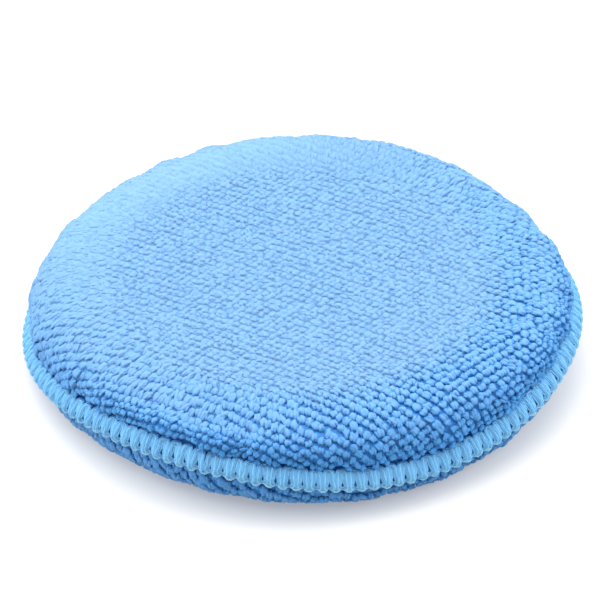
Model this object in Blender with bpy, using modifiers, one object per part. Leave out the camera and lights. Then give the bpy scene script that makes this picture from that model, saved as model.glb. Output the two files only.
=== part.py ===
"""Round terry polishing pad: two terry covers joined by a three-thread overlock seam around a foam disc.

Metres, +Z up. The origin is the middle of the flat underside, so the pad lies on z = 0.
"""
import math

import bpy

MM = 0.001

# Driving dimensions
PAD_HEIGHT = 22.0 * MM
TOP_FLAT_RADIUS = 47.0 * MM
TOP_WIDEST = (62.4 * MM, 14.1 * MM)      # radius and height where the upper pile stands out furthest
BOTTOM_FLAT_RADIUS = 50.0 * MM
BOTTOM_WIDEST = (61.4 * MM, 4.6 * MM)
TERRY_THICKNESS = 3.0 * MM               # ground cloth with its loops
GAP = 0.3 * MM                           # clearance between pieces that touch

# The flange: both cloth edges, drooping outwards and down, held together by the seam
FLANGE_ROOT = (58.7 * MM, 11.6 * MM)
FLANGE_LENGTH = 5.0 * MM
FLANGE_DROOP = math.radians(35.0)
FLANGE_HALF_THICKNESS = 1.40 * MM        # from the parting surface to the outside of one cover
FLANGE_TIP_HALF_THICKNESS = 0.52 * MM

# The overlock seam
STITCHES = 132
THREAD_RADIUS = 0.3 * MM
NEEDLE_LINE = 1.15 * MM                  # distance from the flange root
LOOPER_INNER = 2.0 * MM
LOOPER_OUTER = FLANGE_LENGTH + 0.5 * MM
LOOPER_INNER_LIFT = 2.05 * MM            # height over the parting surface
LOOPER_OUTER_LIFT = 1.0 * MM
NEEDLE_LIFT = 1.95 * MM

# The foam disc
FOAM_RADIUS = 57.9 * MM
FOAM_WAIST_RADIUS = 56.8 * MM

TURN_STEPS = 64
ROUNDNESS = 2.4                          # exponent of the superellipse that rounds the edges
ROUND_POINTS = 6


def clear_scene():
    for obj in list(bpy.data.objects):
        bpy.data.objects.remove(obj, do_unlink=True)


def make_collection(name):
    collection = bpy.data.collections.new(name)
    bpy.context.scene.collection.children.link(collection)
    return collection


def make_material(name, colour, roughness):
    material = bpy.data.materials.new(name)
    material.use_nodes = True
    shader = material.node_tree.nodes["Principled BSDF"]
    shader.inputs["Base Color"].default_value = (*colour, 1.0)
    shader.inputs["Roughness"].default_value = roughness
    shader.inputs["Metallic"].default_value = 0.0
    return material


def rounded_edge(flat_end, widest, count=ROUND_POINTS):
    """Points from the end of a flat face to the widest point, along a quarter of a superellipse."""
    points = []
    for i in range(count + 1):
        turn = 0.5 * math.pi * i / count
        across = math.sin(turn) ** (2.0 / ROUNDNESS)
        along = abs(math.cos(turn)) ** (2.0 / ROUNDNESS)
        radius = flat_end[0] + (widest[0] - flat_end[0]) * across
        height = widest[1] + (flat_end[1] - widest[1]) * along
        points.append((radius, height))
    return points


def on_flange(outwards, lift):
    """Radius and height of a point on the drooping flange, lift being square to its parting surface."""
    radius = FLANGE_ROOT[0] + outwards * math.cos(FLANGE_DROOP) + lift * math.sin(FLANGE_DROOP)
    height = FLANGE_ROOT[1] - outwards * math.sin(FLANGE_DROOP) + lift * math.cos(FLANGE_DROOP)
    return radius, height


def turned(name, profile, collection, material):
    """A solid of revolution about Z; the profile runs down its outer side."""
    mesh = bpy.data.meshes.new(name)
    vertices = [(radius, 0.0, height) for radius, height in profile]
    edges = [(i, i + 1) for i in range(len(vertices) - 1)]
    mesh.from_pydata(vertices, edges, [])
    obj = bpy.data.objects.new(name, mesh)
    collection.objects.link(obj)
    screw = obj.modifiers.new("Turn", "SCREW")
    screw.axis = "Z"
    screw.steps = TURN_STEPS
    screw.render_steps = TURN_STEPS
    screw.use_merge_vertices = True
    screw.merge_threshold = 0.00001
    screw.use_smooth_shade = True
    mesh.materials.append(material)
    return obj


def thread_ring(name, points, collection, material):
    """A closed thread through the points (angle, radius, height) around the pad."""
    curve = bpy.data.curves.new(name, "CURVE")
    curve.dimensions = "3D"
    curve.bevel_depth = THREAD_RADIUS
    curve.bevel_resolution = 0
    spline = curve.splines.new("POLY")
    spline.points.add(len(points) - 1)
    for point, (angle, radius, height) in zip(spline.points, points):
        point.co = (radius * math.cos(angle), radius * math.sin(angle), height, 1.0)
    spline.use_cyclic_u = True
    curve.materials.append(material)
    obj = bpy.data.objects.new(name, curve)
    collection.objects.link(obj)
    return obj


def upper_cover(collection, material):
    """The upper terry disc: flat face, rounded side tucked in over the groove, and its half of the flange."""
    half_gap = 0.5 * GAP
    inner_top = PAD_HEIGHT - TERRY_THICKNESS
    profile = [(0.0, PAD_HEIGHT)]
    profile += rounded_edge((TOP_FLAT_RADIUS, PAD_HEIGHT), TOP_WIDEST)
    profile += [
        (61.9 * MM, 13.5 * MM),
        (60.9 * MM, 13.2 * MM),
        (59.9 * MM, 13.0 * MM),
        on_flange(0.6 * MM, FLANGE_HALF_THICKNESS),
        on_flange(2.0 * MM, FLANGE_HALF_THICKNESS - 0.05 * MM),
        on_flange(FLANGE_LENGTH, FLANGE_TIP_HALF_THICKNESS),
        on_flange(FLANGE_LENGTH, half_gap),
        on_flange(0.0, half_gap),
    ]
    inner_edge = rounded_edge((49.5 * MM, inner_top), (58.5 * MM, 12.9 * MM))
    profile += reversed(inner_edge)
    profile.append((0.0, inner_top))
    return turned("upper_cover", profile, collection, material)


def lower_cover(collection, material):
    """The lower terry disc: its half of the flange, the side tucked in below it, and the flat underside."""
    half_gap = 0.5 * GAP
    profile = [(0.0, TERRY_THICKNESS)]
    profile += rounded_edge((47.0 * MM, TERRY_THICKNESS), (57.3 * MM, 8.2 * MM))
    profile += [
        (57.7 * MM, 10.2 * MM),
        on_flange(0.0, -half_gap),
        on_flange(FLANGE_LENGTH, -half_gap),
        on_flange(FLANGE_LENGTH, -FLANGE_TIP_HALF_THICKNESS),
        on_flange(2.0 * MM, 0.05 * MM - FLANGE_HALF_THICKNESS),
        on_flange(0.6 * MM, -FLANGE_HALF_THICKNESS),
        (58.5 * MM, 8.5 * MM),
        (59.3 * MM, 7.5 * MM),
        (60.6 * MM, 6.5 * MM),
    ]
    outer_edge = rounded_edge((BOTTOM_FLAT_RADIUS, 0.0), BOTTOM_WIDEST)
    profile += reversed(outer_edge)
    profile.append((0.0, 0.0))
    return turned("lower_cover", profile, collection, material)


def foam_core(collection, material):
    """The sponge disc, a little wider where the upper cover bulges."""
    top = PAD_HEIGHT - TERRY_THICKNESS - GAP
    bottom = TERRY_THICKNESS + GAP
    profile = [(0.0, top)]
    profile += rounded_edge((49.0 * MM, top), (FOAM_RADIUS, 12.8 * MM))
    lower_edge = rounded_edge((46.5 * MM, bottom), (FOAM_WAIST_RADIUS, 8.4 * MM))
    profile += reversed(lower_edge)
    profile.append((0.0, bottom))
    return turned("foam_core", profile, collection, material)


def looper_points(side, offset):
    """Square loops over one side of the flange: side is 1 above and -1 below, offset is in stitches."""
    inner = on_flange(LOOPER_INNER, side * LOOPER_INNER_LIFT)
    outer = on_flange(LOOPER_OUTER, side * LOOPER_OUTER_LIFT)
    loop = [(0.15, inner), (0.25, outer), (0.75, outer), (0.85, inner)]
    pitch = 2.0 * math.pi / STITCHES
    points = []
    for stitch in range(STITCHES):
        for along, (radius, height) in loop:
            points.append(((stitch + along + offset) * pitch, radius, height))
    return points


def needle_points():
    """The needle thread lies in the groove, straight from stitch to stitch past the loops' inner ends."""
    pitch = 2.0 * math.pi / STITCHES
    radius, height = on_flange(NEEDLE_LINE, NEEDLE_LIFT)
    return [(stitch * pitch, radius, height) for stitch in range(STITCHES)]


def build():
    clear_scene()
    parts = make_collection("polishing_pad")
    terry = make_material("terry_blue", (0.20, 0.46, 0.86), 0.95)
    terry_under = make_material("terry_blue_under", (0.17, 0.41, 0.80), 0.95)
    foam = make_material("sponge", (0.78, 0.76, 0.62), 0.90)
    needle = make_material("needle_yarn", (0.20, 0.52, 0.80), 0.60)
    looper = make_material("looper_yarn", (0.22, 0.58, 0.86), 0.60)
    pale = make_material("looper_yarn_pale", (0.42, 0.70, 0.80), 0.60)
    upper_cover(parts, terry)
    lower_cover(parts, terry_under)
    foam_core(parts, foam)
    thread_ring("needle_thread", needle_points(), parts, needle)
    thread_ring("upper_looper_thread", looper_points(1.0, 0.0), parts, looper)
    thread_ring("lower_looper_thread", looper_points(-1.0, 0.5), parts, pale)


build()
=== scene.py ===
"""Looks of the round terry polishing pad: cloth, loops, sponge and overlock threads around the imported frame.

Metres, +Z up, the pad lying on z = 0 with the camera on its -Y side.
"""
import math

import bpy
import numpy as np
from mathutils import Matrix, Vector


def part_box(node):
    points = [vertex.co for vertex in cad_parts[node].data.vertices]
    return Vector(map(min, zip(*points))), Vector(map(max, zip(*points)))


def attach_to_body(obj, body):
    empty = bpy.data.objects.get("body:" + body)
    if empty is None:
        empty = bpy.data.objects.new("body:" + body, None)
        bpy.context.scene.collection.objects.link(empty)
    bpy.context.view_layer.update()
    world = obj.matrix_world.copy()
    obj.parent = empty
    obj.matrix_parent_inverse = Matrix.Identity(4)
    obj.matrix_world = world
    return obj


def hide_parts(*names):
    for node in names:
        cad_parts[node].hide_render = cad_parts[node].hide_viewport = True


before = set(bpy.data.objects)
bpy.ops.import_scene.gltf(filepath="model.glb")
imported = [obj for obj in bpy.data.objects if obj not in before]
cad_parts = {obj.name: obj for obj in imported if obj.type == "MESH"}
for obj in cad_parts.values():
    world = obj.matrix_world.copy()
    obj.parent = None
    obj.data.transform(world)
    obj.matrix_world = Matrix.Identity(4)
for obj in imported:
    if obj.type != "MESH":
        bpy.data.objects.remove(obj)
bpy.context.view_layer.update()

MM = 0.001
TAU = 2.0 * math.pi

# Places taken from the frame
top_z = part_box("upper_cover")[1].z
upper_thread_low, upper_thread_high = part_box("upper_looper_thread")
lower_thread_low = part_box("lower_looper_thread")[0]
foam_low, foam_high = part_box("foam_core")
RIM_RADIUS = upper_thread_high.x
RIM_HEIGHT = 0.5 * (upper_thread_low.z + lower_thread_low.z) + 0.3 * MM

# The terry cloth
GROUND_THICKNESS = 0.7 * MM
PILE_HEIGHT = 1.85 * MM                  # loops above the ground cloth on the open face
LOOP_PITCH = 1.57 * MM                   # along a row of loops
ROW_PITCH = 2.0 * MM                     # from row to row
ROW_STAGGER = 0.30                       # each row starts this share of a pitch further on
ROW_WANDER = 0.12                        # how far a row strays from straight, in rows
KNOT_JITTER = 0.08                       # how far a knot strays from its place, in pitches
UPPER_ROW_ANGLE = math.radians(-29.0)
LOWER_ROW_ANGLE = math.radians(14.0)
SHOULDER_STRETCH = 0.30                  # the knit gives this much more over the pad's rounded edge
EDGE_EASE = 0.14                         # and is gathered by this much beside the seam
SECTION_STEP = 1.0 * MM                  # between the points of a cover's section
NEAR_BY = 0.3 * MM                       # step over which the cloth's stretch is measured

# Bands of a cover, in the flat cloth and in millimetres from its cut edge: start, ramp, end, ramp
STRETCHED_BAND = 10.0, 5.0, 30.0, 10.0
EASED_BAND = 4.0, 1.0, 14.0, 5.0
PUCKER_BAND = 3.8, 2.5, 17.0, 9.0

# Zones of a cover that reach out to the seam: how far from the cut edge each starts, and its ramp
SHOULDER_ZONE = 29.0 * MM, 10.0 * MM     # the cloth is drawn over the rounded edge
PULLED_ZONE = 26.0 * MM, 3.0 * MM        # the loops lie outwards and not along their rows
GATHERED_ZONE = 17.0 * MM, 9.0 * MM      # the knit draws together towards the seam
CROWDED_ZONE = 13.6 * MM, 7.0 * MM       # the loops are crowded
PRESSED_ZONE = 10.6 * MM, 8.0 * MM       # and pressed down
BED_END = 5.5 * MM, 6.0 * MM             # the matted feet end here, and thin out towards it
LOOPS_END = 5.9 * MM                     # the outermost loops

# The pile
LOOP_STRANDS = 4                         # side by side in each loop
LOOP_YARN = 0.45 * MM                    # radius of one fluffy strand at the top of a loop
LOOSE_FIBRES = 9                         # over each loop
PILE_PIECES = 9                          # each cover's loops are split into this many pieces
FIBRE_PIECES = 5                         # and its loose fibres into this many
OPEN_SIDE = math.radians(-50.0)          # the loops part most on this side of the rounded edge
GATHERED_SIDE = math.radians(-85.0)      # and the knit is gathered most beside the seam on this side
BED_OF_PILE = 0.50 * MM                  # the matted feet of the loops, over the knit itself
MATTED_BED = 1.10 * MM                   # how much more of it there is where the loops mat together
TOP_COVER = 0.67                         # how much of the loops' feet the fluff hides on the open face, leaving out that much painted shade
SIDE_COVER = 0.94                        # and on the fluffy side of the rounded edge
GATHER_UNCOVERS = 0.75                   # how much of that cover is lost in the gathers, where more painted shade shows
GATHER_PAINTED_SHADE = 0.55                    # how far the painted shade of the feet reaches up the loops there, to their tips
FOOT_HEIGHT, TIP_HEIGHT = 0.95 * MM, 1.98 * MM   # between them a loop turns from the painted shade of its foot to its own tone
MIDDLE_HEIGHT = 0.92 * MM                # of the round course that a strand takes
FULL_HEIGHT = 1.5 * MM                   # where a loop's lean and spread are counted in full
FIBRE_HEIGHT = 1.30 * MM                 # of the loose fibres, under the strands' own radius
FIBRE_FALL = 0.30, 1.6 * MM              # how steeply they fall towards the loop's outside, and how far
FLOOR_CLEARANCE = 1.1                    # a strand's middle stays this many radii above the floor
YARN_SHIFT = 7.3                         # each yarn starts this far along the pattern of its fibres

# The seam's ridge
RIDGE_DROOP = math.radians(35.0)
EXTRA_DROOP = math.radians(15.0)         # bent down so much more at its steepest
EXTRA_DROOP_SIDE = math.radians(-165.0)
EXTRA_DROOP_END = 0.35                   # cosine of the angle from that side at which it has died out
DROOPING_REACH = 5.2 * MM, 1.5 * MM      # the part that bends: from the tip inwards, and its ramp
DROOPING_LIFT = 3.2 * MM, 1.0 * MM       # and off the ridge's middle on either side
RIDGE_LENGTH = 5.0 * MM                  # from the root, under the pile, to the edge
RIDGE_TIP_INSET = 0.9 * MM
HALF_CLOTH = 0.35 * MM                   # the middle of each cover's cloth, off the ridge's middle
RIDGE_CENTRE = 3.0 * MM                  # of the ellipse that rounds its outside, inwards from the edge
RIDGE_REACH, RIDGE_RISE = 3.1 * MM, 1.5 * MM   # that ellipse's half axes, along the ridge and square to it

# The overlock stitches
STITCHES = 132
STITCH_RADIUS = RIM_RADIUS - 2.0 * MM    # where their pitch is measured
NEEDLE_REACH = 4.75 * MM                 # over the ridge's outside, from its edge
NEEDLE_YARN = 0.26 * MM

# How the soft pad departs from a true round: waves in its radius and in its seam's height, and small
# folds beside the seam. Each wave is (times round, amount, angle of its first crest).
RADIUS_WAVES = ((2, 0.0200, math.radians(27.0)), (3, 0.0100, math.radians(-49.0)),
                (4, 0.0130, math.radians(-10.0)))
SEAM_WAVES = ((1, 1.5 * MM, math.radians(-93.0)), (2, 0.7 * MM, math.radians(-55.0)),
              (3, 3.4 * MM, math.radians(-2.0)))
PUCKERS = ((23, 0.30 * MM, 0.4), (37, 0.22 * MM, 1.9), (58, 0.12 * MM, 0.9))   # with a phase instead
SEAM_LEVEL = 10.0 * MM                   # height about which the seam's waves act
WAVE_REACH = 8.4 * MM                    # they die out this far above and below it
WAVE_START, WAVE_RAMP = 42.0 * MM, 16.0 * MM   # and inside this radius


def smooth_step(x):
    x = np.clip(x, 0.0, 1.0)
    return x * x * (3.0 - 2.0 * x)


def zone(distance, edge, where):
    """How far a flat distance from the middle is inside one of the zones beside the cut edge, from 0 to 1."""
    return smooth_step((distance - (edge - where[0])) / where[1])


def band(left, start, ramp_in, end, ramp_out):
    """1 inside a band and 0 outside it, with a ramp at either end."""
    return smooth_step((left - start) / ramp_in) * smooth_step((end - left) / ramp_out)


def droop_more(radius, angle, height):
    """The seam's ridge bent further down about its root where the pad is pressed over it."""
    slope = math.cos(RIDGE_DROOP), math.sin(RIDGE_DROOP)
    out, up = radius - (RIM_RADIUS - RIDGE_TIP_INSET), height - RIM_HEIGHT
    inwards, lift = up * slope[1] - out * slope[0], out * slope[1] + up * slope[0]
    part = smooth_step((DROOPING_REACH[0] - inwards) / DROOPING_REACH[1])
    part = part * smooth_step((DROOPING_LIFT[0] - np.abs(lift)) / DROOPING_LIFT[1])
    side = smooth_step((np.cos(angle - EXTRA_DROOP_SIDE) - EXTRA_DROOP_END) / (1.0 - EXTRA_DROOP_END))
    bend = part * EXTRA_DROOP * side
    root_out, root_up = -RIDGE_LENGTH * slope[0], RIDGE_LENGTH * slope[1]
    out, up = out - root_out, up - root_up
    turned_out = out * np.cos(bend) + up * np.sin(bend)
    turned_up = up * np.cos(bend) - out * np.sin(bend)
    return turned_out + root_out + RIM_RADIUS - RIDGE_TIP_INSET, turned_up + root_up + RIM_HEIGHT


def settle(radius, angle, height):
    """World points of a place on the ideal round pad, once the pad has taken its slightly uneven lie."""
    radius, height = droop_more(radius, angle, height)
    out = (radius / RIM_RADIUS) ** 2
    for times, amount, crest in RADIUS_WAVES:
        radius = radius * (1.0 + amount * out * np.cos(times * (angle - crest)))
    near = np.clip(1.0 - ((height - SEAM_LEVEL) / WAVE_REACH) ** 2, 0.0, 1.0)
    near = near * smooth_step((radius - WAVE_START) / WAVE_RAMP)
    for times, amount, crest in SEAM_WAVES:
        height = height + amount * near * np.cos(times * (angle - crest))
    return np.stack([radius * np.cos(angle), radius * np.sin(angle), height], axis=-1)


def on_ridge(inwards, lift):
    """Radius and height of a place on the seam's ridge: inwards from its edge, lift square to its middle."""
    radius = RIM_RADIUS - RIDGE_TIP_INSET - inwards * math.cos(RIDGE_DROOP) + lift * math.sin(RIDGE_DROOP)
    height = RIM_HEIGHT + inwards * math.sin(RIDGE_DROOP) + lift * math.cos(RIDGE_DROOP)
    return radius, height


def quarter(flat_end, widest, exponent=2.4, count=12):
    """Radius and height on a quarter of a superellipse, from the end of a flat face to the widest point."""
    turn = np.linspace(0.0, 0.5 * math.pi, count)
    across = np.sin(turn) ** (2.0 / exponent)
    along = np.abs(np.cos(turn)) ** (2.0 / exponent)
    radius = flat_end[0] + (widest[0] - flat_end[0]) * across
    height = widest[1] + (flat_end[1] - widest[1]) * along
    return list(zip(radius, height))


def evenly(points):
    """A smooth line through the points, sampled at even steps. Its corners are rounded by a moving mean."""
    fine_step, reach = 0.1 * MM, 5
    points = np.array(points)
    length = np.concatenate([[0.0], np.cumsum(np.linalg.norm(np.diff(points, axis=0), axis=1))])
    fine = np.linspace(0.0, length[-1], int(length[-1] / fine_step))
    line = np.stack([np.interp(fine, length, points[:, k]) for k in range(2)], axis=1)
    window = np.hanning(2 * reach + 3)[1:-1]
    window /= window.sum()
    padded = np.concatenate([np.repeat(line[:1], reach, 0), line, np.repeat(line[-1:], reach, 0)])
    line = np.stack([np.convolve(padded[:, k], window, "valid") for k in range(2)], axis=1)
    line[0, 0] = 0.0
    length = np.concatenate([[0.0], np.cumsum(np.linalg.norm(np.diff(line, axis=0), axis=1))])
    at = np.linspace(0.0, length[-1], int(round(length[-1] / SECTION_STEP)) + 1)
    return np.stack([np.interp(at, length, line[:, k]) for k in range(2)], axis=1)


def flat_distance(line):
    """How far each place on a section line is from the middle in the flat cloth, before it is stretched."""
    step = np.linalg.norm(np.diff(line, axis=0), axis=1)
    left = np.cumsum(step[::-1])[::-1] / MM    # distance still to go to the cut edge
    stretch = 1.0 + SHOULDER_STRETCH * band(left, *STRETCHED_BAND) - EDGE_EASE * band(left, *EASED_BAND)
    return np.concatenate([[0.0], np.cumsum(step / stretch)])


def upper_line():
    """Section of the upper ground cloth, from the middle of the face to the edge of the ridge."""
    face = top_z - PILE_HEIGHT + 0.1 * MM
    dome = 0.4 * MM
    points = [(r, face - dome * (r / (47.0 * MM)) ** 2) for r in np.linspace(0.0, 46.0 * MM, 8)]
    points += quarter((47.0 * MM, face - dome), (60.5 * MM, 13.2 * MM))
    points += [(60.2 * MM, 12.3 * MM), (59.3 * MM, 11.8 * MM)]
    points += [on_ridge(RIDGE_LENGTH - 0.6 * MM, HALF_CLOTH), on_ridge(0.4 * MM, HALF_CLOTH)]
    return evenly(points)


def lower_line():
    """Section of the lower ground cloth, from the middle of the underside to the edge of the ridge."""
    face = PILE_HEIGHT - 0.1 * MM
    points = [(r, face) for r in np.linspace(0.0, 47.0 * MM, 8)]
    points += quarter((49.0 * MM, face), (59.8 * MM, 4.9 * MM))
    points += [(59.7 * MM, 6.4 * MM), (59.2 * MM, 8.2 * MM)]
    points += [on_ridge(RIDGE_LENGTH - 0.6 * MM, -HALF_CLOTH), on_ridge(0.4 * MM, -HALF_CLOTH)]
    return evenly(points)


class Cloth:
    """A ground cloth as a polar grid: ring distances measured in the flat cloth, and points in space."""

    def __init__(self, line, outwards, segments=240):
        self.along = flat_distance(line)
        self.segments = segments
        angle = np.arange(segments) * TAU / segments
        radius = np.repeat(line[:, :1], segments, axis=1)
        height = np.repeat(line[:, 1:], segments, axis=1)
        self.points = settle(radius, np.broadcast_to(angle, radius.shape), height)
        self.outwards = outwards
        self.pucker()

    def pucker(self):
        """Gather the cloth beside the seam into small uneven folds."""
        left = (self.along[-1] - self.along)[:, None] / MM
        amount = band(left, *PUCKER_BAND)
        angle = np.arange(self.segments) * TAU / self.segments
        wave = sum(size * np.sin(times * angle + phase + 1.7 * np.sin(3.0 * angle + phase))
                   for times, size, phase in PUCKERS)
        self.points = self.points + self.normals() * (amount * wave)[..., None]

    def normals(self):
        """The outward direction at each grid point."""
        across = np.roll(self.points, -1, axis=1) - np.roll(self.points, 1, axis=1)
        down = np.gradient(self.points, axis=0)
        normal = np.cross(down, across) * self.outwards
        normal[0] = normal[1].mean(axis=0)
        return normal / np.linalg.norm(normal, axis=-1, keepdims=True)

    def at(self, x, y, grid):
        """Values of the grid at flat-cloth places x, y."""
        ring = np.interp(np.hypot(x, y), self.along, np.arange(len(self.along)))
        turn = (np.arctan2(y, x) % TAU) * self.segments / TAU
        i = np.minimum(ring.astype(int), len(self.along) - 2)
        j = turn.astype(int) % self.segments
        u = (ring - i)[..., None]
        v = (turn - turn.astype(int))[..., None]
        k = (j + 1) % self.segments
        near = grid[i, j] * (1.0 - v) + grid[i, k] * v
        far = grid[i + 1, j] * (1.0 - v) + grid[i + 1, k] * v
        return near * (1.0 - u) + far * u


def parting(distance, angle, edge):
    """How the pile stands at flat distances from the middle: four values, each from 0 to 1.

    shoulder is how far the cloth is drawn over the rounded edge, fluffy how far the loops there mat together,
    gathered how far they are in the gathers beside the seam, and covered how much of their feet is hidden,
    which leaves out that much of the painted shade at their feet.
    """
    shoulder = zone(distance, edge, SHOULDER_ZONE)
    fluffy = (0.5 - 0.5 * np.cos(angle - OPEN_SIDE)) * shoulder
    gathered = zone(distance, edge, GATHERED_ZONE) * (0.5 + 0.5 * np.cos(angle - GATHERED_SIDE)) ** 2
    covered = (TOP_COVER * (1.0 - shoulder) + SIDE_COVER * fluffy) * (1.0 - GATHER_UNCOVERS * gathered)
    return shoulder, fluffy, gathered, covered


def unit(vectors):
    return vectors / np.maximum(np.linalg.norm(vectors, axis=-1, keepdims=True), 1e-12)


def add_object(mesh, material):
    """An object with the mesh's own name, placed in the scene."""
    mesh.materials.append(material)
    obj = bpy.data.objects.new(mesh.name, mesh)
    bpy.context.scene.collection.objects.link(obj)
    return obj


def make_mesh(name, points, corners, counts, uv_layers, material):
    """A mesh object from flat arrays: points, all the faces' corners in turn, and how many a face has."""
    mesh = bpy.data.meshes.new(name)
    mesh.vertices.add(len(points))
    mesh.vertices.foreach_set("co", points.astype(np.float32).ravel())
    mesh.loops.add(len(corners))
    mesh.loops.foreach_set("vertex_index", corners.astype(np.int32))
    mesh.polygons.add(len(counts))
    starts = np.concatenate([[0], np.cumsum(counts)[:-1]])
    mesh.polygons.foreach_set("loop_start", starts.astype(np.int32))
    mesh.update(calc_edges=True)
    mesh.shade_smooth()
    for layer, uv in uv_layers.items():
        mesh.uv_layers.new(name=layer).data.foreach_set("uv", uv.astype(np.float32).ravel())
    mesh.validate()
    return add_object(mesh, material)


def ring_faces(rings, segments, first=0):
    """Quads between the rings of a turned form, whose points are counted from the first one on."""
    faces = []
    for i in range(rings - 1):
        low, high = first + i * segments, first + (i + 1) * segments
        for j in range(segments):
            k = (j + 1) % segments
            faces.append((low + j, high + j, high + k, low + k))
    return faces


def attach(obj, node):
    """The piece rides on the pad's one body and replaces a solid of the CAD."""
    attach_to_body(obj, "root")
    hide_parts(node)
    return obj


def corner_uvs(shape, low_u, high_u, low_v, high_v):
    """The map places of all the faces' corners, from the limits of every face."""
    low_u, high_u, low_v, high_v = [np.broadcast_to(x, shape) for x in (low_u, high_u, low_v, high_v)]
    return np.stack([low_u, low_v, low_u, high_v, high_u, high_v, high_u, low_v], axis=-1).reshape(-1, 2)


def tubes(name, paths, side, radius, sides, material, closed=False, cells=1, ply=0.0, twist=0.0, roots=None):
    """Many yarns as one mesh. paths and side are (yarns, points, 3), side lying square to the yarn.

    cells cuts each yarn's length into that many patches of the bake map. ply makes the section two-lobed,
    and twist turns the lobes by that many radians a metre. roots holds each yarn's foot, upward direction,
    cover and gathers, from which every point stores how far it shows the yarn's own tone and not the painted
    shade at its foot.
    """
    number, count = paths.shape[:2]
    if closed:
        forward = np.roll(paths, -1, axis=1) - np.roll(paths, 1, axis=1)
    else:
        forward = np.gradient(paths, axis=1)
    forward = unit(forward)
    first = unit(side - (side * forward).sum(-1, keepdims=True) * forward)
    second = np.cross(forward, first)
    step = np.linalg.norm(np.diff(paths, axis=1), axis=-1)
    run = np.concatenate([np.zeros((number, 1)), np.cumsum(step, axis=1)], axis=1)
    turn = np.arange(sides) * TAU / sides
    lobe = 1.0 + ply * np.cos(2.0 * (turn - twist * run[:, :, None]))
    reach = np.broadcast_to(radius, (number, count))[:, :, None] * lobe
    ring = np.cos(turn)[:, None] * first[:, :, None, :] + np.sin(turn)[:, None] * second[:, :, None, :]
    points = paths[:, :, None, :] + ring * reach[..., None]
    if roots:
        foot, up, covered, gathered = [values[:, None, None] for values in roots]
        # Painted shade: below the tip height the yarn turns to its foot's deeper colour, less where covered
        # and more in the gathers.
        rise = smooth_step((((points - foot) * up).sum(-1) - FOOT_HEIGHT) / (TIP_HEIGHT - FOOT_HEIGHT))
        rise = rise + (1.0 - rise) * covered
        rise = rise * (1.0 - GATHER_PAINTED_SHADE * gathered)
    points = points.reshape(-1, 3)

    lengths = count if closed else count - 1
    tube = np.arange(number)[:, None, None]
    along = np.arange(lengths)[None, :, None]
    around = np.arange(sides)[None, None, :]
    ahead = (along + 1) % count
    right = (around + 1) % sides
    here, there = (tube * count + along) * sides, (tube * count + ahead) * sides
    corners = [np.stack([here + around, here + right, there + right, there + around], axis=-1).reshape(-1)]
    counts = [np.full(number * lengths * sides, 4)]

    # The bake map gives each patch of yarn a cell of its own; the yarn map is in millimetres.
    grid = math.ceil(math.sqrt(number * cells))
    patch = lengths / cells
    order = (along / patch).astype(int)
    cell, share = tube * cells + order, (along - order * patch) / patch
    edge, inner = 0.06, 0.88     # a cell's empty border and its used part
    low_u = (cell % grid + edge + inner * share) / grid
    high_u = low_u + inner / patch / grid
    low_v = (cell // grid + edge + inner * around / sides) / grid
    high_v = low_v + inner / sides / grid
    shape = (number, lengths, sides)
    bake = [corner_uvs(shape, low_u, high_u, low_v, high_v)]
    run_next = np.concatenate([run[:, 1:], run[:, -1:] + step.mean()], axis=1)
    start, end = [values[:, :lengths, None] / MM + YARN_SHIFT * tube for values in (run, run_next)]
    girth = TAU * float(np.mean(radius)) / MM
    yarn = [corner_uvs(shape, start, end, around / sides * girth, (around + 1) / sides * girth)]
    if not closed:
        for place, sense in ((0, -1), (count - 1, 1)):
            cap = (np.arange(number)[:, None] * count + place) * sides + np.arange(sides)[None, ::sense]
            corners.append(cap.reshape(-1))
            counts.append(np.full(number, sides))
            last = cells - 1 if place else 0
            spot = np.arange(number)[:, None] * cells + last + np.zeros((1, sides), int)
            spot_u = (spot % grid + (edge + inner if place else edge)) / grid
            spot_v = (spot // grid + edge + inner * np.arange(sides)[None, ::sense] / sides) / grid
            bake.append(np.stack([spot_u, spot_v], -1).reshape(-1, 2))
            yarn.append(np.zeros((number * sides, 2)))
    layers = {"OFBake": np.concatenate(bake), "Yarn": np.concatenate(yarn)}
    obj = make_mesh(name, points, np.concatenate(corners), np.concatenate(counts), layers, material)
    if roots:
        stored = obj.data.attributes.new("ShadeFree", "FLOAT", "POINT")
        stored.data.foreach_set("value", rise.astype(np.float32).ravel())
        nap = np.broadcast_to(up, (number, count, sides, 3))
        stored = obj.data.attributes.new("Nap", "FLOAT_VECTOR", "POINT")
        stored.data.foreach_set("vector", nap.astype(np.float32).ravel())
    return obj


# Materials

def new_material(name, colour, roughness, sheen=0.0, sheen_tint=(1.0, 1.0, 1.0)):
    """A node material with its Principled shader, whose plain values are set on its own sockets."""
    material = bpy.data.materials.new(name)
    material.use_nodes = True
    shader = material.node_tree.nodes["Principled BSDF"]
    shader.inputs["Base Color"].default_value = (*colour, 1.0)
    shader.inputs["Roughness"].default_value = roughness
    shader.inputs["Sheen Weight"].default_value = sheen
    shader.inputs["Sheen Roughness"].default_value = 0.45
    shader.inputs["Sheen Tint"].default_value = (*sheen_tint, 1.0)
    shader.inputs["Specular IOR Level"].default_value = 0.25
    return material, material.node_tree, shader


def add_node(tree, kind, **inputs):
    node = tree.nodes.new(kind)
    for name, value in inputs.items():
        node.inputs[name.replace("_", " ")].default_value = value
    return node


def texture(tree, kind, place, **inputs):
    """A texture node over the places that another node gives."""
    node = add_node(tree, kind, **inputs)
    tree.links.new(place, node.inputs["Vector"])
    return node


def raised(tree, height, strength, distance, under=None, invert=False):
    """The normals of a surface that a texture raises, over those that another node gives."""
    node = add_node(tree, "ShaderNodeBump", Strength=strength, Distance=distance)
    node.invert = invert
    tree.links.new(height, node.inputs["Height"])
    if under:
        tree.links.new(under, node.inputs["Normal"])
    return node.outputs["Normal"]


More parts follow.
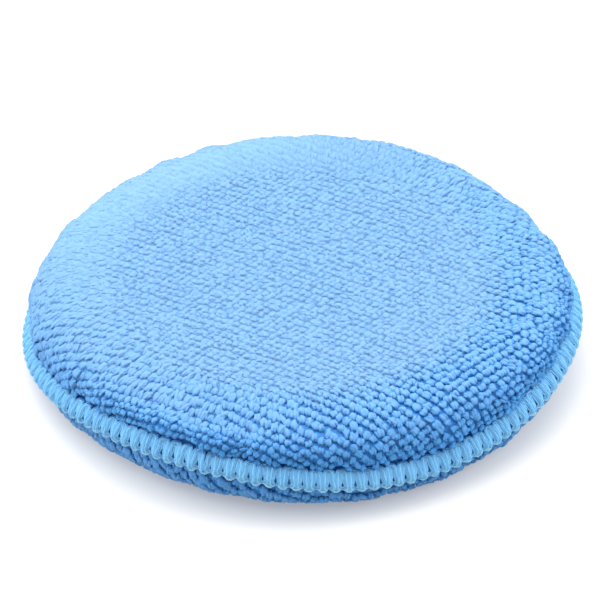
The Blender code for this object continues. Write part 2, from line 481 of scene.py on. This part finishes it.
def two_tones(tree, factor, dark, light):
    """A ramp between two colours, driven by a factor from 0 to 1."""
    ramp = tree.nodes.new("ShaderNodeValToRGB")
    ramp.color_ramp.elements[0].color = (*dark, 1.0)
    ramp.color_ramp.elements[1].color = (*light, 1.0)
    tree.links.new(factor, ramp.inputs["Fac"])
    return ramp.outputs["Color"]


def painted_shade_mix(tree, low, high):
    """From a painted shade colour to another, as each point's stored mask says. Each is values or a node's
    output.
    """
    tone = tree.nodes.new("ShaderNodeAttribute")
    tone.attribute_name = "ShadeFree"
    mix = tree.nodes.new("ShaderNodeMix")
    mix.data_type = "RGBA"
    tree.links.new(tone.outputs["Fac"], mix.inputs["Factor"])
    for socket, colour in (("A", low), ("B", high)):
        if isinstance(colour, tuple):
            mix.inputs[socket].default_value = (*colour, 1.0)
        else:
            tree.links.new(colour, mix.inputs[socket])
    return mix.outputs["Result"]


def yarn_material(name, dark, light, roughness, sheen, sheen_tint, fibre_scale=7.0, bump=0.35, root=None,
                  softness=0.0):
    """Fluffy yarn: tone differs from loop to loop and in soft patches, and fine fibres run along the yarn.

    root is a painted shade colour for a loop's foot: a deeper blue for the light it loses among its
    neighbours.
    softness is how far the fluff takes the light as one even surface, square to the nap.
    """
    patches, fibre_share = 0.35, 0.5   # how much of the tone the soft patches and the fibres take
    material, tree, shader = new_material(name, light, roughness, sheen, sheen_tint)
    link = tree.links.new
    geometry = tree.nodes.new("ShaderNodeNewGeometry")
    coordinates = tree.nodes.new("ShaderNodeTexCoord")
    clouds = texture(tree, "ShaderNodeTexNoise", coordinates.outputs["Object"], Scale=90.0, Detail=3.0,
                     Roughness=0.6)
    mix = add_node(tree, "ShaderNodeMix", Factor=patches)
    link(geometry.outputs["Random Per Island"], mix.inputs["A"])
    link(clouds.outputs["Fac"], mix.inputs["B"])

    yarn = tree.nodes.new("ShaderNodeUVMap")
    yarn.uv_map = "Yarn"
    stretch = tree.nodes.new("ShaderNodeMapping")
    stretch.inputs["Scale"].default_value = (0.9, fibre_scale, 1.0)
    stretch.inputs["Rotation"].default_value = (0.0, 0.0, 0.35)
    link(yarn.outputs["UV"], stretch.inputs["Vector"])
    fibres = texture(tree, "ShaderNodeTexNoise", stretch.outputs["Vector"], Scale=1.0, Detail=4.0,
                     Roughness=0.7)
    shade = add_node(tree, "ShaderNodeMix", Factor=fibre_share)
    link(mix.outputs["Result"], shade.inputs["A"])
    link(fibres.outputs["Fac"], shade.inputs["B"])
    colour = two_tones(tree, shade.outputs["Result"], dark, light)
    evened = None
    if root:
        # Painted shade: the loop's foot takes the deeper root colour, as far as the stored mask says.
        colour = painted_shade_mix(tree, root, colour)
        nap = tree.nodes.new("ShaderNodeAttribute")
        nap.attribute_name = "Nap"
        soften = tree.nodes.new("ShaderNodeMix")
        soften.data_type = "VECTOR"
        soften.inputs["Factor"].default_value = softness
        link(geometry.outputs["Normal"], soften.inputs["A"])
        link(nap.outputs["Vector"], soften.inputs["B"])
        normalize = tree.nodes.new("ShaderNodeVectorMath")
        normalize.operation = "NORMALIZE"
        link(soften.outputs["Result"], normalize.inputs[0])
        evened = normalize.outputs["Vector"]
    link(colour, shader.inputs["Base Color"])
    lumps = texture(tree, "ShaderNodeTexNoise", yarn.outputs["UV"], Scale=1.7, Detail=2.0, Roughness=0.6)
    swell = raised(tree, lumps.outputs["Fac"], bump, 0.45 * MM, under=evened)
    link(raised(tree, fibres.outputs["Fac"], bump, 0.12 * MM, under=swell), shader.inputs["Normal"])
    return material


def ground_material(name, dark, light, matted):
    """The ground cloth between the loops: small stitches, and the tone of fluff where the loops mat."""
    material, tree, shader = new_material(name, light, roughness=0.95, sheen=0.2, sheen_tint=light)
    coordinates = tree.nodes.new("ShaderNodeTexCoord")
    stitches = texture(tree, "ShaderNodeTexVoronoi", coordinates.outputs["Object"], Scale=1400.0)
    # The knit's deep blue is partly the cloth's own and partly painted shade of the gaps between the loops.
    knit = two_tones(tree, stitches.outputs["Distance"], light, dark)
    tree.links.new(painted_shade_mix(tree, knit, matted), shader.inputs["Base Color"])
    normals = raised(tree, stitches.outputs["Distance"], 0.6, 0.2 * MM, invert=True)
    tree.links.new(normals, shader.inputs["Normal"])
    return material


def sponge_material():
    """Open-cell sponge: pores of mixed size, with painted shade darker inside them."""
    material, tree, shader = new_material("sponge_cells_pore_shade", (0.80, 0.77, 0.62), roughness=0.9, sheen=0.1)
    coordinates = tree.nodes.new("ShaderNodeTexCoord")
    pores = texture(tree, "ShaderNodeTexVoronoi", coordinates.outputs["Object"], Scale=1100.0)
    pores.feature = "SMOOTH_F1"
    colour = two_tones(tree, pores.outputs["Distance"], (0.45, 0.42, 0.30), (0.84, 0.81, 0.67))
    tree.links.new(colour, shader.inputs["Base Color"])
    normals = raised(tree, pores.outputs["Distance"], 0.8, 0.4 * MM)
    tree.links.new(normals, shader.inputs["Normal"])
    return material


# Pieces

def cloth_sheet(name, cloth, node, material):
    """The ground cloth itself, as a thin solid sheet. Its outer side is lifted by the loops' matted feet."""
    rings, segments = cloth.points.shape[:2]
    left = cloth.along[-1] - cloth.along
    angle = np.arange(segments) * TAU / segments
    covered = parting(cloth.along[:, None], angle, cloth.along[-1])[-1]
    thick = (BED_OF_PILE + MATTED_BED * covered) * smooth_step((left - BED_END[0]) / BED_END[1])[:, None]
    outer = cloth.points + cloth.normals() * thick[..., None]
    points = np.concatenate([outer[:1, 0], outer[1:].reshape(-1, 3)])
    faces = [(0, 1 + j, 1 + (j + 1) % segments) for j in range(segments)]
    faces += ring_faces(rings - 1, segments, first=1)
    if cloth.outwards < 0.0:
        faces = [face[::-1] for face in faces]
    mesh = bpy.data.meshes.new(name)
    mesh.from_pydata(points.tolist(), [], faces)
    mesh.shade_smooth()
    # Where the matted feet cover the knit the sheet takes their tone; elsewhere the knit's blue, partly
    # painted shade of the gaps.
    tone = np.concatenate([covered[:1, 0], covered[1:].ravel()])
    mesh.attributes.new("ShadeFree", "FLOAT", "POINT").data.foreach_set("value", tone.astype(np.float32))
    obj = add_object(mesh, material)
    solid = obj.modifiers.new("Thickness", "SOLIDIFY")
    solid.thickness = GROUND_THICKNESS
    solid.offset = -1.0
    return attach(obj, node)


class Knots:
    """The places in a cover's knit where a loop of pile stands, each with its own directions and fullness."""

    TURN, FULLNESS, LEAN = 0.38, 0.12, 0.18    # how much each of them scatters in a wholly loose loop

    def __init__(self, cloth, row_angle, rng):
        edge = cloth.along[-1]
        row_way = np.array([math.cos(row_angle), math.sin(row_angle)])
        cross_way = np.array([-row_way[1], row_way[0]])
        rows = np.arange(-int(edge / ROW_PITCH), int(edge / ROW_PITCH) + 1)
        knots = np.arange(-int(edge / LOOP_PITCH) - 1, int(edge / LOOP_PITCH) + 2)
        row, knot = [grid.ravel().astype(float) for grid in np.meshgrid(rows, knots)]
        jitter = rng.normal(0.0, KNOT_JITTER, (2, len(row)))
        along_row = (knot + (ROW_STAGGER * row) % 1.0 + jitter[0]) * LOOP_PITCH
        across_row = (row + jitter[1] + ROW_WANDER * np.sin(0.16 * knot + 0.4 * row)) * ROW_PITCH
        flat = along_row[:, None] * row_way + across_row[:, None] * cross_way
        distance = np.hypot(flat[:, 0], flat[:, 1])
        inside = distance < edge - LOOPS_END
        flat, distance = flat[inside], distance[inside]

        self.number = len(flat)
        self.base = cloth.at(flat[:, 0], flat[:, 1], cloth.points)
        self.up = unit(cloth.at(flat[:, 0], flat[:, 1], cloth.normals()))
        self.turned = np.arctan2(self.base[:, 1], self.base[:, 0])
        # How the pile stands, and from 0 to 1 how far it is crowded and pressed towards the seam
        self.shoulder, self.fluffy, self.gathered, self.covered = parting(distance, self.turned, edge)
        self.crowded = zone(distance, edge, CROWDED_ZONE)
        self.pressed = zone(distance, edge, PRESSED_ZONE)
        self.loose = 0.5 + 0.25 * self.shoulder - 0.45 * self.fluffy

        # The way it lies: along its row on the open face and outwards over the rounded edge
        outward = unit(flat) * np.where(flat @ row_way < 0.0, -1.0, 1.0)[:, None]
        pulled = zone(distance, edge, PULLED_ZONE)[:, None]
        lie = unit(row_way * (1.05 - pulled) + outward * pulled)
        yaw = rng.normal(0.0, self.TURN, self.number) * self.loose
        quarter_turn = np.array([-1.0, 1.0])
        way = np.cos(yaw)[:, None] * lie + np.sin(yaw)[:, None] * lie[:, ::-1] * quarter_turn
        ahead, abreast = [cloth.at(*(flat + NEAR_BY * towards).T, cloth.points) - self.base
                          for towards in (way, way[:, ::-1] * quarter_turn)]
        run = unit(ahead)
        self.run = unit(run - (run * self.up).sum(-1, keepdims=True) * self.up)
        self.cross = np.cross(self.up, self.run)

        # The room a loop has along its own direction and across it, in the stretched or crowded cloth
        along, across = np.abs(lie @ row_way), np.abs(lie @ cross_way)
        length = np.hypot(LOOP_PITCH * along, ROW_PITCH * across) * np.linalg.norm(ahead, axis=1) / NEAR_BY
        breadth = np.hypot(LOOP_PITCH * across, ROW_PITCH * along) * np.linalg.norm(abreast, axis=1) / NEAR_BY
        parted = self.shoulder - self.fluffy
        self.size = LOOP_YARN * (1.0 - 0.20 * self.crowded)
        fullness = 1.0 + self.FULLNESS * rng.normal(0.0, 1.0, (2, self.number)) * self.loose
        fills_run, fills_cross = 1.56 - 0.36 * parted, 1.07 + 0.05 * parted + 0.16 * self.fluffy
        self.wide = np.maximum(0.5 * length * fills_run * fullness[0] - self.size, 0.1 * MM)
        self.spread = np.maximum(0.5 * breadth * fills_cross * fullness[1] - self.size, 0.08 * MM)
        self.lean_run = rng.normal(0.0, self.LEAN, self.number) * self.loose
        self.lean_cross = rng.normal(-0.10, self.LEAN, self.number) * self.loose
        self.tall = 1.0 - 0.46 * self.pressed - 0.07 * parted

    def repeated(self, times, names):
        """The named values, each knot's given several times over."""
        return [np.repeat(getattr(self, name), times, axis=0) for name in names.split()]

    def share_out(self, times, pieces):
        """Which of the repeated values belong to each of the given number of sectors of the pad."""
        for sector in np.array_split(np.argsort(self.turned), pieces):
            yield (sector[:, None] * times + np.arange(times)).ravel()


def pile_pieces(name, knots, times, pieces, paths, side, radius, sides, node, material):
    """Strands, so many for each knot, as one piece for each sector of the pad."""
    paths[..., 2] = np.maximum(paths[..., 2], radius * FLOOR_CLEARANCE)
    side = np.broadcast_to(side[:, None], paths.shape)
    roots = knots.repeated(times, "base up covered gathered")
    made = []
    for part, chosen in enumerate(knots.share_out(times, pieces), 1):
        obj = tubes(f"{name}_{part}", paths[chosen], side[chosen], radius[chosen], sides, material, ply=0.10,
                    twist=1400.0, roots=[values[chosen] for values in roots])
        made.append(attach(obj, node))
    return made


def in_space(base, run, cross, up, forward, sideways, above):
    """Points of strands whose places are given along each one's own directions."""
    return (base[:, None] + forward[..., None] * run[:, None] + sideways[..., None] * cross[:, None]
            + above[..., None] * up[:, None])


def terry_loops(name, knots, node, material, rng):
    """The pile: a loop of a few fluffy strands at each knot."""
    base, up, run, cross, loose, tall, size, wide, spread, lean_run, lean_cross = knots.repeated(
        LOOP_STRANDS, "base up run cross loose tall size wide spread lean_run lean_cross")
    yarns, count = len(base), 8
    tangle = rng.normal(0.0, 0.25, yarns)[:, None] * loose[:, None]
    run, cross = run + tangle * cross, cross - tangle * run

    # Each strand's place in the loop, from -1 to 1, and its round course from foot to foot. What is drawn
    # at random has a mean and a scatter, as a factor or in millimetres.
    place = np.tile(np.linspace(-1.0, 1.0, LOOP_STRANDS), knots.number)
    place = place + rng.normal(0.0, 0.12, yarns)
    turn = np.radians(np.linspace(-55.0, 235.0, count))
    narrower = 1.0 - 0.25 * np.minimum(place ** 2, 1.2)
    wide = (wide * rng.normal(1.0, 0.18, yarns) * narrower)[:, None]
    high = ((rng.normal(0.46, 0.05, yarns) - 0.12 * place ** 2) * tall)[:, None] * MM
    spread = (place * spread)[:, None]
    curl = rng.normal(0.08, 0.16, yarns)[:, None] * MM
    above = MIDDLE_HEIGHT * tall[:, None] + high * np.sin(turn)
    share = above / FULL_HEIGHT
    forward = wide * np.cos(turn) + lean_run[:, None] * MM * share
    sideways = (lean_cross[:, None] * MM * share + spread * (0.35 + 0.65 * share)
                + curl * np.cos(turn) * (0.4 + 0.6 * share))
    paths = in_space(base, run, cross, up, forward, sideways, above)
    fat = 0.72 + 0.28 * np.sin(np.linspace(0.0, math.pi, count)) ** 0.7
    radius = (rng.normal(1.0, 0.10, yarns) * size)[:, None] * fat * rng.normal(1.0, 0.06, (yarns, count))
    return pile_pieces(name, knots, LOOP_STRANDS, PILE_PIECES, paths, cross, radius, 5, node,
                       material)


def loose_fibres(name, knots, node, material, rng):
    """Fine fibres lying over the loops, which soften them and tie neighbours together."""
    base, up, run, cross, tall, size, wide, spread, lean_run, lean_cross = knots.repeated(
        LOOSE_FIBRES, "base up run cross tall size wide spread lean_run lean_cross")
    hairs, count = len(base), 4
    way = rng.normal(0.0, 0.4, hairs)[:, None]
    half = rng.uniform(0.35, 0.75, hairs)[:, None] * (size + 0.5 * wide)[:, None]
    step = np.linspace(-1.0, 1.0, count) * half
    bow = rng.normal(0.0, 0.18, hairs)[:, None] * MM * (1.0 - np.linspace(-1.0, 1.0, count) ** 2)
    start = rng.uniform(-1.25, 1.25, (2, hairs, 1)) * np.stack([size + wide, size + spread])[..., None]
    forward = start[0] + step * np.cos(way) - bow * np.sin(way)
    sideways = start[1] + step * np.sin(way) + bow * np.cos(way)

    # The loop's round top, on which the fibre lies, falls with the square of the distance off its middle
    off = (forward ** 2 + sideways ** 2) / (1.0 * MM)
    above = (FIBRE_HEIGHT * tall + 0.96 * size)[:, None] - FIBRE_FALL[0] * np.minimum(off, FIBRE_FALL[1])
    above = above + rng.uniform(-0.04, 0.05, hairs)[:, None] * MM
    forward = forward + lean_run[:, None] * 0.8 * MM
    sideways = sideways + lean_cross[:, None] * 0.8 * MM
    paths = in_space(base, run, cross, up, forward, sideways, above)
    radius = np.broadcast_to(rng.uniform(0.04, 0.06, hairs)[:, None] * MM, (hairs, count))
    return pile_pieces(name, knots, LOOSE_FIBRES, FIBRE_PIECES, paths, up, radius, 3, node,
                       material)


def ridge_section(reach, lift):
    """Inward distance and lift on the ridge's rounded outside.

    reach is the distance over that outside, above the edge when positive and below it when negative.
    """
    turn = np.linspace(-math.pi, math.pi, 361)
    inwards, up = RIDGE_CENTRE - RIDGE_REACH * np.cos(turn), RIDGE_RISE * np.sin(turn)
    over = np.concatenate([[0.0], np.cumsum(np.hypot(np.diff(inwards), np.diff(up)))])
    turn = np.interp(reach, over - over[len(turn) // 2], turn)
    return RIDGE_CENTRE - (RIDGE_REACH + lift) * np.cos(turn), (RIDGE_RISE + lift) * np.sin(turn)


def seam_point(reach, stitch, lift):
    """World points of a thread, from its reach over the ridge, place in stitches and lift off the cloth."""
    inwards, up = ridge_section(reach, lift)
    radius, height = on_ridge(inwards, up)
    angle = stitch * TAU / STITCHES
    return settle(radius, angle, height)


def thread_course(reach, stitch, lift):
    """World points of a thread, and from each of them a step off the cloth."""
    points = seam_point(reach, stitch, lift)
    return points, seam_point(reach, stitch, lift + 0.5 * MM) - points


def rounded(points, period):
    """Corners of a repeating line cut off twice over. period is the line's total advance."""
    for _ in range(2):
        after = np.concatenate([points[1:], points[:1] + period])
        points = np.stack([0.75 * points + 0.25 * after, 0.25 * points + 0.75 * after], axis=1).reshape(-1, 2)
    return points


def looper(name, node, material, rng, strands, inner, outer, legs, pinch, feet, breadth, yarn,
           lift):
    """A looper thread: a ribbon of bulky strands, meandering between the needle line and the ridge's edge.

    inner and outer are the reach of its turns. legs, pinch and feet are half the distance between its two
    sides at the needle line, where they draw together and at the edge, in stitches. breadth is the ribbon's
    width near the needle line and yarn a strand's radius.
    """
    pitch = TAU * STITCH_RADIUS / STITCHES
    uneven = rng.normal(0.0, 0.028, (4, STITCHES))
    far = outer + rng.normal(0.0, 0.14, (2, STITCHES)) * MM
    thigh, waist = outer + 0.48 * (inner - outer), outer + 0.27 * (inner - outer)
    middle = np.arange(STITCHES) + 0.5
    corner = [np.stack([(middle + across + uneven[leg]) * pitch, reach + np.zeros(STITCHES)], axis=1)
              for across, leg, reach in ((-legs, 0, inner), (-legs, 0, thigh), (-pinch, 0, waist),
                                         (-feet, 1, far[0]), (feet, 2, far[1]), (pinch, 3, waist),
                                         (legs, 3, thigh), (legs, 3, inner))]
    wrap = np.array([STITCHES * pitch, 0.0])
    line = rounded(np.stack(corner, axis=1).reshape(-1, 2), wrap)
    ahead = np.concatenate([line[1:], line[:1] + wrap])
    behind = np.concatenate([line[-1:] - wrap, line[:-1]])
    forward = unit(ahead - behind)
    square = np.stack([-forward[:, 1], forward[:, 0]], axis=1)
    inside = np.abs(line[:, 1] / inner)
    width = breadth * (0.72 + 0.28 * smooth_step(inside * 1.6))
    courses = []
    for strand in range(strands):
        offset = (strand - 0.5 * (strands - 1)) / max(strands - 1, 1)
        place = line + square * (offset * width)[:, None]
        wave = 0.05 * MM * np.sin(np.arange(len(line)) * 0.9 + 2.1 * strand)
        flatter = 1.0 - 0.6 * smooth_step(inside * 1.3)
        swell = 0.40 * MM * np.cos(TAU * (place[:, 0] / pitch - 0.5)) * flatter
        rise = lift + wave + swell - 0.30 * MM * offset ** 2
        courses.append(thread_course(place[:, 1], place[:, 0] / pitch, rise))
    paths, side = [np.stack(parts) for parts in zip(*courses)]
    obj = tubes(name, paths, side, yarn, 5, material, closed=True, cells=STITCHES, ply=0.08, twist=2200.0)
    return attach(obj, node)


def needle_line(node, material):
    """The needle thread in the groove: a straight stitch over the loops, then down into the cloth."""
    place = np.linspace(0.0, 1.0, 10, endpoint=False)
    stitch = np.arange(STITCHES)[:, None] + place
    lift, depth, hole = 0.2 * MM, 1.2 * MM, 0.12       # the hole's half width is in stitches
    dip = lift - depth * np.exp(-((place - 0.5) / hole) ** 2)
    points, outside = thread_course(NEEDLE_REACH, stitch, dip + np.zeros_like(stitch))
    obj = tubes("needle_stitches", points.reshape(1, -1, 3), outside.reshape(1, -1, 3), NEEDLE_YARN, 7,
                material, closed=True, cells=STITCHES, ply=0.1, twist=2600.0)
    return attach(obj, node)


def sponge(material):
    """The foam disc, squeezed a little by the covers, with a slightly uneven side and its pores open."""
    squeezed, smaller = 0.3 * MM, 0.6 * MM     # on each face, and around
    low, high = foam_low.z + squeezed, foam_high.z - squeezed
    rings, segments = 60, 220
    turn = np.linspace(0.0, math.pi, rings)
    across = np.abs(np.sin(turn)) ** 0.28
    along = np.sign(np.cos(turn)) * np.abs(np.cos(turn)) ** 0.6
    angle = np.arange(segments) * TAU / segments
    rng = np.random.default_rng(31)
    ripple = sum(rng.normal(0.0, 0.25) * np.cos(k * angle + rng.uniform(0.0, TAU)) for k in range(4, 12)) * MM
    r = (foam_high.x - smaller) * across[:, None] + ripple * across[:, None] - smaller
    r = np.maximum(r, 0.0)
    z = 0.5 * (low + high) + 0.5 * (high - low) * along[:, None] + np.zeros_like(r)
    points = settle(r, np.broadcast_to(angle, r.shape), z)
    body = points[1:-1].reshape(-1, 3)
    poles = np.array([points[0].mean(axis=0), points[-1].mean(axis=0)])
    faces = ring_faces(rings - 2, segments)
    north, south, last = len(body), len(body) + 1, len(body) - segments
    for j in range(segments):
        k = (j + 1) % segments
        faces += [(north, j, k), (south, last + k, last + j)]
    mesh = bpy.data.meshes.new("sponge_disc")
    mesh.from_pydata(np.concatenate([body, poles]).tolist(), [], faces)
    mesh.shade_smooth()
    obj = attach(add_object(mesh, material), "foam_core")
    return obj


def lay_floor():
    """A plain white table that glows a little, which keeps the shadow on it pale."""
    bpy.ops.mesh.primitive_plane_add(size=6.0, location=(0.0, 0.0, 0.0))
    floor = bpy.context.active_object
    floor.name = "floor"
    material, _, shader = new_material("floor_white", (0.56, 0.56, 0.56), roughness=0.9)
    shader.inputs["Specular IOR Level"].default_value = 0.0
    shader.inputs["Emission Color"].default_value = (1.0, 1.0, 1.0, 1.0)
    shader.inputs["Emission Strength"].default_value = 0.30
    floor.data.materials.append(material)


def light_sky():
    """A white sky, brightest overhead and a little to the back, with a bright band at the horizon."""
    world = bpy.data.worlds.new("studio")
    world.use_nodes = True
    sky = world.node_tree
    background = sky.nodes["Background"]
    background.inputs["Color"].default_value = (1.0, 1.0, 1.0, 1.0)
    way = sky.nodes.new("ShaderNodeTexCoord")
    brighter = sky.nodes.new("ShaderNodeMath")
    brighter.operation = "MAXIMUM"
    overhead = {"From Min": 0.20, "To Min": 0.08, "To Max": 2.32}
    horizon = {"From Min": 0.03, "From Max": 0.07, "To Min": 1.0, "To Max": 0.0}
    for socket, (direction, limits) in enumerate((((-0.08, 0.30, 0.95), overhead),
                                                  ((0.0, 0.0, 1.0), horizon))):
        facing = sky.nodes.new("ShaderNodeVectorMath")
        facing.operation = "DOT_PRODUCT"
        facing.inputs[1].default_value = direction
        level = sky.nodes.new("ShaderNodeMapRange")
        for limit, value in limits.items():
            level.inputs[limit].default_value = value
        sky.links.new(way.outputs["Generated"], facing.inputs[0])
        sky.links.new(facing.outputs["Value"], level.inputs["Value"])
        sky.links.new(level.outputs["Result"], brighter.inputs[socket])
    sky.links.new(brighter.outputs["Value"], background.inputs["Strength"])
    bpy.context.scene.world = world
    bpy.context.scene.view_settings.view_transform = "Standard"


def hang_lights():
    """A large soft light overhead, and one on either side. Each is (name, place, size, power)."""
    for name, place, size, power in (
        ("softbox_key", (-0.25, 0.40, 1.4), 1.6, 12.0),
        ("softbox_left", (-1.2, 0.1, 0.5), 0.9, 7.5),
        ("softbox_right", (1.2, 0.1, 0.5), 0.9, 8.5),
    ):
        light = bpy.data.lights.new(name, "AREA")
        light.size = size
        light.energy = power
        obj = bpy.data.objects.new(name, light)
        obj.location = place
        obj.rotation_mode = "QUATERNION"
        obj.rotation_quaternion = (-Vector(place)).to_track_quat("-Z", "Y")
        bpy.context.scene.collection.objects.link(obj)


def place_camera():
    """A long lens from the front, looking down on the pad. The picture is 139 mm wide at the pad's middle."""
    elevation, distance, view_width = math.radians(37.5), 1.18, 139.0 * MM
    aim = Vector((-0.6 * MM, 0.0, 14.3 * MM))
    back = Vector((0.0, -math.cos(elevation), math.sin(elevation)))
    data = bpy.data.cameras.new("camera")
    data.sensor_width = 36.0
    data.lens = data.sensor_width * distance / view_width
    data.clip_start = 0.05
    camera = bpy.data.objects.new("camera", data)
    camera.location = aim + back * distance
    camera.rotation_mode = "QUATERNION"
    camera.rotation_quaternion = (-back).to_track_quat("-Z", "Y")
    bpy.context.scene.collection.objects.link(camera)
    bpy.context.scene.camera = camera


def build():
    rng = np.random.default_rng(2)
    blue_dark, blue_light, painted_light_blue = (0.145, 0.320, 0.57), (0.235, 0.405, 0.65), (0.27, 0.45, 0.69)
    # The loops' root colour below is painted shade: a deeper blue for their feet, deep among their neighbours.
    painted_shade_blue, glow = (0.07, 0.34, 0.79), (0.55, 0.78, 1.0)
    terry = yarn_material("terry_yarn_painted_foot_shade", blue_dark, blue_light, 0.95, 0.06, glow, bump=0.5, root=painted_shade_blue,
                          softness=0.46)
    # The loose fibres take a lighter copy of the loop yarn's blues, painted light for what thin fibres let
    # through; their feet take the painted shade as well.
    wisps = yarn_material("terry_fibres_painted_light_and_shade", blue_light, painted_light_blue, 0.95, 0.06, glow, root=painted_shade_blue,
                          softness=0.7)
    # The ground's deep blues are partly the knit's own and partly painted shade for the gaps between the
    # loops.
    ground = ground_material("terry_ground", dark=(0.05, 0.28, 0.74), light=(0.08, 0.33, 0.80),
                             matted=(0.21, 0.385, 0.63))
    cyan = yarn_material("looper_yarn", (0.04, 0.29, 0.65), (0.33, 0.70, 0.97), 0.6, 0.12, glow,
                         fibre_scale=6.0, bump=0.6)
    pale = yarn_material("looper_yarn_pale", (0.22, 0.51, 0.73), (0.40, 0.70, 0.84), 0.6, 0.15, glow,
                         fibre_scale=9.0, bump=0.5)
    # The needle thread's darker blue is painted shade for the groove it lies in.
    needle = yarn_material("needle_yarn", (0.03, 0.18, 0.46), (0.07, 0.27, 0.58), 0.6, 0.1, glow,
                           fibre_scale=9.0, bump=0.5)

    foam = sponge(sponge_material())
    upper = Cloth(upper_line(), 1.0)
    lower = Cloth(lower_line(), -1.0)
    for cloth, which, angle, node in ((upper, "upper", UPPER_ROW_ANGLE, "upper_cover"),
                                      (lower, "lower", LOWER_ROW_ANGLE, "lower_cover")):
        sheet = cloth_sheet(f"{which}_cloth", cloth, node, ground)
        knots = Knots(cloth, angle, rng)
        pile = terry_loops(f"{which}_loops", knots, node, terry, rng)
        pile += loose_fibres(f"{which}_fibres", knots, node, wisps, rng)
    looper("upper_looper_wraps", "upper_looper_thread", cyan, rng, strands=4, inner=4.35 * MM,
           outer=-0.3 * MM, legs=0.24, pinch=0.11, feet=0.43, breadth=1.16 * MM, yarn=0.27 * MM,
           lift=0.20 * MM)
    looper("lower_looper_wraps", "lower_looper_thread", pale, rng, strands=2,
           inner=-4.7 * MM, outer=0.05 * MM, legs=0.25, pinch=0.32, feet=0.52, breadth=0.40 * MM,
           yarn=0.21 * MM, lift=0.40 * MM)
    needle_line("needle_thread", needle)
    lay_floor()
    light_sky()
    hang_lights()
    place_camera()


build()
